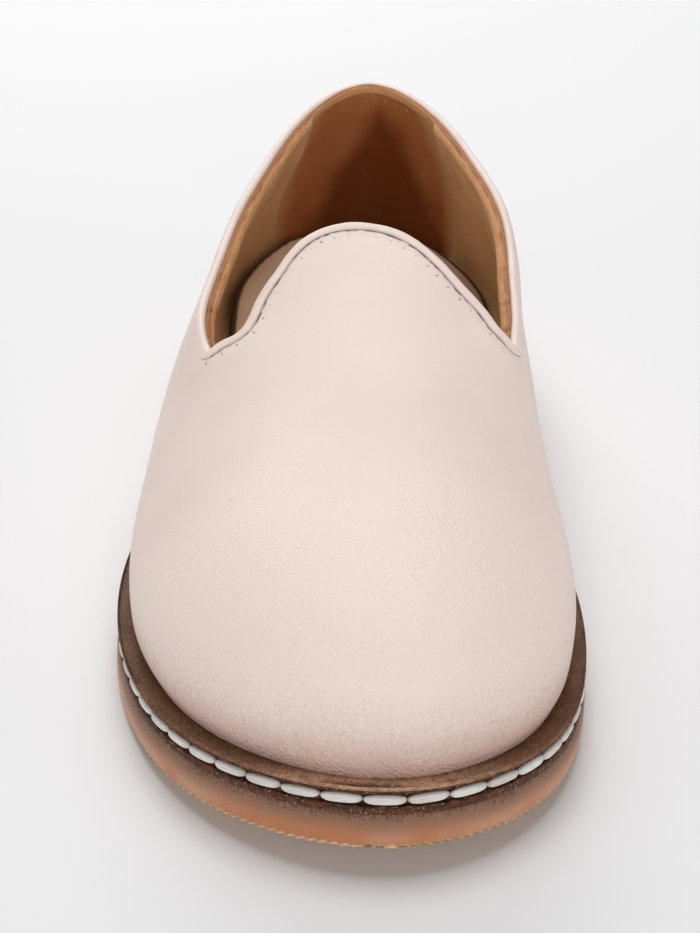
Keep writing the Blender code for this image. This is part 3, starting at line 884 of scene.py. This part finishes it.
def make_upper_leather():
    sheet = wall_sheet("upper_leather", outside=True)
    plain_collar = collar_frame(sheet)
    reshape_rim(sheet, plain_collar)
    collar = collar_frame(sheet)
    collar["before"] = plain_collar
    cut_seams(sheet)
    foot = open_edges(sheet)[1]
    points, normals = points_of(sheet), normals_of(sheet)
    gap, run = nearest_on(collar["fine"], points)
    rise = nearest_on(evenly(points[foot], FINE_POINTS), points)[0]
    throat = throat_share(run, collar)
    behind = points[:, 1] - SEAM_Y - SEAM_SLANT * (points[:, 2] - SEAM_LEVEL)
    inward = TROUGH_DEPTH * throat * (1 - smooth_step(0, TROUGH_WIDTH, gap))
    inward = inward + TUCK_DEPTH * (1 - np.clip(rise / TUCK_HEIGHT, 0, 1)) ** 2
    inward = inward + SEAM_STEP * (behind > SEAM_WIDTH / 2) + corner_puckers(gap, run, collar)
    inland = smooth_step(0, SWELL_MARGIN, np.minimum(gap, rise))
    inward = inward + SWELL * rough(points, SWELL_SIZE) * inland
    points = points - normals * inward[:, None]
    points[foot, 2] -= FOOT_SINK
    place(sheet, points)
    remember(sheet, rim_gap=gap, rim_run=run, foot_rise=rise, throat=throat)
    apply_modifier(sheet, "SOLIDIFY", thickness=LEATHER, offset=-1.0)
    dress(sheet, SHEET_ANGLE, pink_leather(), "pink_leather", "upper")
    return collar


def inner_sheet(name, collar, lift):
    """The inside of the wall, thickened along the collar and lifted off the wall."""
    sheet = wall_sheet(name, outside=False)
    reshape_rim(sheet, collar["before"])
    foot = open_edges(sheet)[1]
    points, normals = points_of(sheet), normals_of(sheet)
    gap, run = nearest_on(collar["fine"], points)
    swell = LINING_SWELL + (THROAT_SWELL - LINING_SWELL) * throat_share(run, collar)
    swell = swell * (1 - (HEEL_THINNING + HEEL_TUCK) * heel_share(run, collar))
    thicker = swell * (1 - smooth_step(LINING_SWELL_START, LINING_SWELL_END, gap)) + lift
    thicker = thicker + LINING_WAVE * rough(points, LINING_WAVE_SIZE, 7.0)
    rise = nearest_on(evenly(points[foot], FINE_POINTS), points)[0]
    thicker = thicker + (TUCK_DEPTH + LINING_TUCK) * (1 - np.clip(rise / TUCK_HEIGHT, 0, 1))
    points = points + normals * thicker[:, None]
    points[foot, 2] -= FOOT_SINK
    place(sheet, points)
    return sheet


def make_lining(collar):
    sheet = inner_sheet("lining", collar, LINING_LIFT)
    apply_modifier(sheet, "SOLIDIFY", thickness=LINING, offset=-1.0)
    finish = napped_leather("lining_leather", LINING_TAUPE, LINING_TAUPE_DARK, 0.62)
    dress(sheet, SHEET_ANGLE, finish, "taupe_leather")


def make_heel_grip(collar):
    """A strip of browner leather over the lining at the heel, with a row of stitches under the collar."""
    grip = inner_sheet("heel_grip", collar, LINING_LIFT + GRIP_THICKNESS)
    start_edit(grip)
    front, facing = (0.0, GRIP_FRONT, GRIP_LEVEL), (0.0, 1.0, GRIP_SLANT)
    bpy.ops.mesh.bisect(plane_co=front, plane_no=facing, clear_inner=True)
    end_edit()
    points, normals = points_of(grip), normals_of(grip)
    behind = points[:, 1] + GRIP_SLANT * (points[:, 2] - GRIP_LEVEL) - GRIP_FRONT
    place(grip, points - normals * (GRIP_SINK * (1 - smooth_step(0, GRIP_FADE, behind)))[:, None])
    skin = tree_of(grip.data)
    apply_modifier(grip, "SOLIDIFY", thickness=GRIP_THICKNESS, offset=-1.0)
    finish = napped_leather("heel_grip_leather", GRIP_BROWN, GRIP_BROWN_DARK, 0.58, grip_shade_and_tone)
    dress(grip, SHEET_ANGLE, finish, "taupe_leather")
    shape = stitch_shape(GRIP_STITCH_LENGTH, GRIP_STITCH_WIDTH, GRIP_STITCH_WIDTH)
    runs = np.arange(GRIP_STITCH_PITCH / 2, collar["length"] - GRIP_STITCH_PITCH / 4, GRIP_STITCH_PITCH)
    row = at_run(collar, collar["line"] - collar["upward"] * GRIP_STITCH_DROP, runs)
    placed = []
    for spot in row[row[:, 1] > GRIP_STITCH_FRONT]:
        middle, inward = (np.array(found) for found in skin.find_nearest(Vector(spot))[:2])
        across = unit(np.cross(inward, (0.0, 0.0, 1.0)))
        ahead = np.cross(across, inward)
        placed.append(middle + shape[:, :1] * ahead + shape[:, 1:2] * inward + shape[:, 2:] * across)
    join_stitches("heel_grip_stitches", placed, GRIP_THREAD, GRIP_THREAD_SHADE)


# The collar's roll and raw edge

def sweep(name, collar, throat_profile, side_profile, heel_drop=0.0):
    """A strip carried round the collar, with one profile along the throat and another along the sides."""
    share = throat_share(collar["run"], collar)
    thinner = heel_share(collar["run"], collar) * HEEL_THINNING
    drop = heel_drop * (1 - smooth_step(0, ROLL_DROP_END, from_heel(collar["run"], collar)))
    girth = 1.0
    for past, (spot, width, more) in zip(past_corners(collar["run"], collar), ROLL_SWELL):
        girth = girth + more * hump(past / MM, spot, width)
    rings, across = [], []
    for throat, side in zip(throat_profile, side_profile):
        out = share * throat[0] + (1 - share) * side[0]
        across.append(out)
        out = out - thinner * np.minimum(out - RAW_EDGE_START, 0)
        rise = share * throat[1] * girth + (1 - share) * (side[1] - drop * (side[1] > ROLL_UPPER))
        away = collar["outward"] * out[:, None] + collar["upward"] * rise[:, None]
        rings.append(collar["line"] + away * MM)
    count, rows = len(collar["line"]), len(rings)
    faces = []
    for row in range(rows):
        above = (row + 1) % rows
        for i in range(count):
            j = (i + 1) % count
            faces.append((row * count + i, row * count + j, above * count + j, above * count + i))
    mesh = bpy.data.meshes.new(name)
    mesh.from_pydata(np.vstack(rings).tolist(), [], faces)
    piece = new_object(name, mesh)
    remember(piece, across=np.concatenate(across), run=np.tile(collar["run"], rows))
    start_edit(piece)
    bpy.ops.mesh.normals_make_consistent(inside=False)
    end_edit()
    subdivide(piece, 1)
    return piece


def nick_depth(run, collar):
    """How far the raw edge dips at each place along the collar."""
    dip = np.zeros(len(run))
    for past in past_corners(run, collar):
        for spot, width, depth in NICKS:
            dip += depth * MM * hump(past, -spot * MM, width * MM)
    return dip


def make_collar(collar):
    """The pink roll along the rim, and the lining's raw edge inside it."""
    roll = sweep("collar_roll", collar, THROAT_ROLL, SIDE_ROLL, ROLL_DROP)
    ripple(roll, ROLL_WAVES)
    dress(roll, ROUND_ANGLE, roll_leather(), "pink_binding", "collar_binding")
    edge = sweep("lining_raw_edge", collar, THROAT_EDGE, SIDE_EDGE)
    ripple(edge, EDGE_WAVES)
    points = points_of(edge)
    points[:, 2] -= nick_depth(nearest_on(collar["fine"], points)[1], collar)
    place(edge, points)
    dress(edge, CUT_ANGLE, raw_edge_leather(), "taupe_leather")


# The sole

def sole_edge():
    """The outline of the sole's upper face, from the heel back round the lateral side."""
    spots = {}
    for point in points_of(NODES["outsole"]):
        key = tuple(np.round(point[:2], 6))
        spots[key] = max(spots.get(key, -1.0), point[2])
    ring = np.array([(x, y, z) for (x, y), z in spots.items()])
    return round_line(ring[by_angle(ring)])


def sole_height(edge, y):
    """Height of the sole's upper face at places along the shoe."""
    order = np.argsort(edge[:, 1])
    return np.interp(y, edge[order, 1], edge[order, 2])


def make_insole():
    sock = copy_of("insole", "insole_sock")
    points = points_of(sock)
    middle = (points.max(axis=0) + points.min(axis=0)) / 2
    points = middle + (points - middle) * INSOLE_SPREAD
    place(sock, points)
    top = [polygon.vertices for polygon in sock.data.polygons if polygon.normal.z > FLAT]
    outline = (points - middle)[np.unique(np.concatenate(top))] * PLAN
    outline = evenly(outline[by_angle(outline)], FINE_POINTS)
    for thickness in SOCK_INSETS:
        start_edit(sock, faces=faces_of(sock)[1][:, 2] > FLAT)
        bpy.ops.mesh.inset(thickness=thickness, depth=0.0)
        end_edit()
    lateral = points[points[:, 0] < middle[0]]
    lateral = lateral[np.argsort(lateral[:, 1])]
    subdivide(sock, 2)
    points = points_of(sock)
    remember(sock, inset=nearest_on(outline, (points - middle) * PLAN)[0])
    inside = points[:, 0] - np.interp(points[:, 1], lateral[:, 1], lateral[:, 0])
    beside_heel = smooth_step(INSOLE_CURL_FRONT, INSOLE_CURL_FRONT + INSOLE_CURL_RISE, points[:, 1])
    falling = smooth_step(INSOLE_CURL_BACK - INSOLE_CURL_FALL, INSOLE_CURL_BACK, points[:, 1])
    beside_heel = beside_heel * (1 - falling)
    points[:, 2] += INSOLE_CURL * beside_heel * (1 - smooth_step(0, INSOLE_CURL_WIDTH, inside))
    place(sock, points)
    finish = napped_leather("insole_leather", SOCK_TAUPE, SOCK_TAUPE_DARK, 0.55, sock_painted_shade)
    dress(sock, SHEET_ANGLE, finish, "taupe_leather", "insole")


def make_welt_board(edge):
    board = copy_of("midsole", "welt_board")
    start_edit(board, edges=False)
    bpy.ops.mesh.edges_select_sharp(sharpness=radians(WELT_SHARP))
    bpy.ops.mesh.bevel(offset=WELT_BEVEL, segments=2, profile=0.5, clamp_overlap=True)
    end_edit()
    for thickness in WELT_INSETS:
        centres, normals = faces_of(board)
        lowest = sole_height(edge, centres[:, 1]) + BOARD - WELT_TOP_BAND
        start_edit(board, faces=(normals[:, 2] > FLAT) & (centres[:, 2] > lowest))
        bpy.ops.mesh.inset(thickness=thickness, depth=0.0)
        end_edit()
    subdivide(board, 2)
    points, normals = points_of(board), normals_of(board)
    reach = nearest_on(evenly(edge, FINE_POINTS) * PLAN, points * PLAN)[0]
    drop = sole_height(edge, points[:, 1]) + BOARD - points[:, 2]
    side = smooth_step(*WELT_SIDE, drop)
    place(board, points + normals * (WELT_WAVE * rough(points, WELT_WAVE_SIZE, 17.0) * side)[:, None])
    remember(board, side=side, reach=reach, drop=drop)
    dress(board, SHEET_ANGLE, board_leather(), "brown_board", "midsole")


def new_ball():
    bpy.ops.object.select_all(action="DESELECT")
    bpy.ops.mesh.primitive_uv_sphere_add(segments=STITCH_SEGMENTS, ring_count=STITCH_RINGS, radius=1.0)
    return bpy.context.object


def stitch_shape(length, height, depth):
    """Points of a plump thread that lies along X, with blunt ends that dip in."""
    ball = new_ball()
    points = points_of(ball)
    bpy.data.objects.remove(ball)
    along = np.sign(points[:, 2]) * np.abs(points[:, 2]) ** END_SPREAD
    girth = (1 - np.abs(along) ** END_BLUNTNESS) ** 0.5
    around = unit(points[:, :2] + 1e-12)
    return np.column_stack([
        along * length / 2,
        around[:, 0] * girth * depth / 2 - END_DIP * depth * np.abs(along) ** 4,
        around[:, 1] * girth * height / 2,
    ])


def join_stitches(name, placed, pale, shade):
    """One mesh of many stitches, each with its own points."""
    copies = []
    for points in placed:
        copies.append(new_ball())
        place(copies[-1], points)
    only(copies[0])
    for stitch in copies:
        stitch.select_set(True)
    bpy.ops.object.join()
    stitches = bpy.context.object
    stitches.name = stitches.data.name = name
    start_edit(stitches)
    bpy.ops.mesh.remove_doubles(threshold=WELD)
    bpy.ops.mesh.normals_make_consistent(inside=False)
    end_edit()
    dress(stitches, ROUND_ANGLE, waxed_thread(name + "_thread", pale, shade), None)


def make_stitches(edge):
    shape = stitch_shape(STITCH_LENGTH, STITCH_HEIGHT, STITCH_DEPTH)
    count = int(round(distances(edge)[-1] / STITCH_PITCH))
    fine = evenly(edge, STITCH_STEPS * count)
    placed = []
    for number in range(count):
        at = STITCH_STEPS * number
        middle = fine[at]
        along = unit(fine[(at + STITCH_REACH) % len(fine)] - fine[at - STITCH_REACH])
        outward = unit(np.array([-along[1], along[0], 0.0]))
        outward = outward * np.sign(np.dot(outward, middle * PLAN))
        upward = np.cross(outward, along)
        upward = upward * np.sign(upward[2])
        tilt = radians(STITCH_TILT + STITCH_TILT_SPREAD * noise.noise(Vector((number * 1.7, 0.0, 4.0))))
        size = 1 + STITCH_SIZE_SPREAD * noise.noise(Vector((number * 2.3, 9.0, 0.0)))
        ahead = along * np.cos(tilt) + upward * np.sin(tilt)
        above = upward * np.cos(tilt) - along * np.sin(tilt)
        centre = middle + upward * (BOARD - CHANNEL_MIDDLE) - outward * STITCH_SINK
        placed.append(centre + shape[:, :1] * ahead + (shape[:, 1:2] * outward + shape[:, 2:] * above) * size)
    join_stitches("welt_stitches", placed, THREAD, THREAD_SHADE)


def upright_edges(piece):
    points = points_of(piece)
    ends = points[read(piece.data.edges, "vertices", 2, np.int32)]
    return np.linalg.norm((ends[:, 0] - ends[:, 1])[:, :2], axis=1) < UPRIGHT_EDGE


def cut_rubber(rubber):
    """Cut the rubber's outline and then its upright edges into short pieces."""
    outline = np.zeros(len(rubber.data.edges), bool)
    for polygon in rubber.data.polygons:
        if abs(polygon.normal.z) < UPRIGHT_FACE:
            for loop in polygon.loop_indices:
                outline[rubber.data.loops[loop].edge_index] = True
    start_edit(rubber, edges=outline & ~upright_edges(rubber))
    bpy.ops.mesh.subdivide(number_cuts=CUTS_PER_SEGMENT - 1)
    end_edit()
    start_edit(rubber, edges=upright_edges(rubber))
    bpy.ops.mesh.subdivide(number_cuts=RUBBER_CUTS)
    end_edit()


def columns_of(points):
    """The upright column that each point is in, and the columns' places round the shoe."""
    order = by_angle(points)
    ring = points[order, :2]
    starts = np.linalg.norm(ring - np.roll(ring, 1, axis=0), axis=1) > COLUMN_GAP
    at = np.empty(len(points), int)
    at[order] = np.cumsum(starts) - 1
    return at, ring[starts]


def rounded(ring):
    """A closed outline whose straight pieces are blended into a curve."""
    weights = np.hanning(2 * CUTS_PER_SEGMENT + 1)
    weights = weights / weights.sum()
    shifted = (np.roll(ring, shift - CUTS_PER_SEGMENT, axis=0) for shift in range(len(weights)))
    return sum(weight * line for weight, line in zip(weights, shifted))


def make_outsole():
    """The rubber unit, with a row of small teeth round its lower edge."""
    rubber = copy_of("outsole", "gum_outsole")
    cut_rubber(rubber)
    points = points_of(rubber)
    at, ring = columns_of(points)
    ring = rounded(ring)
    low = np.full(len(ring), 1.0)
    high = np.full(len(ring), -1.0)
    np.minimum.at(low, at, points[:, 2])
    np.maximum.at(high, at, points[:, 2])
    share = (points[:, 2] - low[at]) / (high - low)[at]
    ring = evenly(ring, len(ring), np.column_stack([ring, low, high]))
    ring, low, high = ring[:, :2], ring[:, 2], ring[:, 3]
    tangent = np.roll(ring, -1, axis=0) - np.roll(ring, 1, axis=0)
    outward = unit(np.column_stack([tangent[:, 1], -tangent[:, 0]]))
    outward = outward * np.sign(np.sum(outward * ring))
    lowest, highest = share < LOWEST, share > HIGHEST
    notch = lowest * np.array(TOOTH)[at % len(TOOTH)]
    bulge = RUBBER_BULGE * np.sin(pi * np.clip(share, 0, 1)) - RUBBER_BULGE * highest
    away = outward[at]
    flare = RUBBER_FLARE * (1 - share) * (1 - away[:, 0]) / 2
    out = bulge + flare - TOOTH_DEPTH * notch - RUBBER_FOOT * lowest
    plan = ring[at] + away * out[:, None]
    rise = low[at] * (1 - SPRING_EASE) * (1 - share) + high[at] * share
    rise = rise + TOOTH_HEIGHT * notch + RUBBER_REACH * highest
    place(rubber, np.column_stack([plan, rise]))
    remember(rubber, share=share)
    dress(rubber, RUBBER_ANGLE, gum_rubber(), "gum_rubber", "outsole")


# Floor, light and camera

def make_floor():
    bpy.ops.object.select_all(action="DESELECT")
    bpy.ops.mesh.primitive_plane_add(size=FLOOR_SIZE)
    floor = bpy.context.object
    floor.name = "floor"
    paper = Finish("floor_paper", 0.2)
    fibres = paper.clouds(900.0, 3.0)
    colour = paper.blend(fibres * 0.3, FLOOR, FLOOR_FIBRE)
    floor.data.materials.append(paper.finished(colour, fibres * 0.1 + 0.7))


def make_light():
    world = bpy.data.worlds.new("studio")
    world.use_nodes = True
    sky = world.node_tree.nodes["Background"]
    sky.inputs["Color"].default_value = (1.0, 1.0, 1.0, 1.0)
    sky.inputs["Strength"].default_value = SKY
    bpy.context.scene.world = world
    for name, spot, aim, size, watts in LIGHTS:
        lamp = bpy.data.lights.new(name, "AREA")
        lamp.shape = "DISK"
        lamp.size = size
        lamp.energy = watts
        holder = new_object(name, lamp)
        holder.location = spot
        holder.rotation_euler = (Vector(aim) - Vector(spot)).to_track_quat("-Z", "Y").to_euler()
    bpy.context.scene.view_settings.view_transform = "Standard"


def make_camera():
    """The photograph's own view."""
    lens = bpy.data.cameras.new("camera")
    lens.sensor_width = SENSOR
    lens.lens = FOCAL_LENGTH * SENSOR / IMAGE_HEIGHT
    lens.clip_start = 0.01
    holder = new_object("camera", lens)
    holder.location = CAMERA_SPOT
    holder.rotation_euler = (radians(90 - CAMERA_DIP), 0.0, radians(CAMERA_TURN))
    bpy.context.scene.camera = holder


def main():
    make_camera()
    make_light()
    make_floor()
    collar = make_upper_leather()
    make_lining(collar)
    make_heel_grip(collar)
    make_collar(collar)
    edge = sole_edge()
    make_insole()
    make_welt_board(edge)
    make_stitches(edge)
    make_outsole()


main()
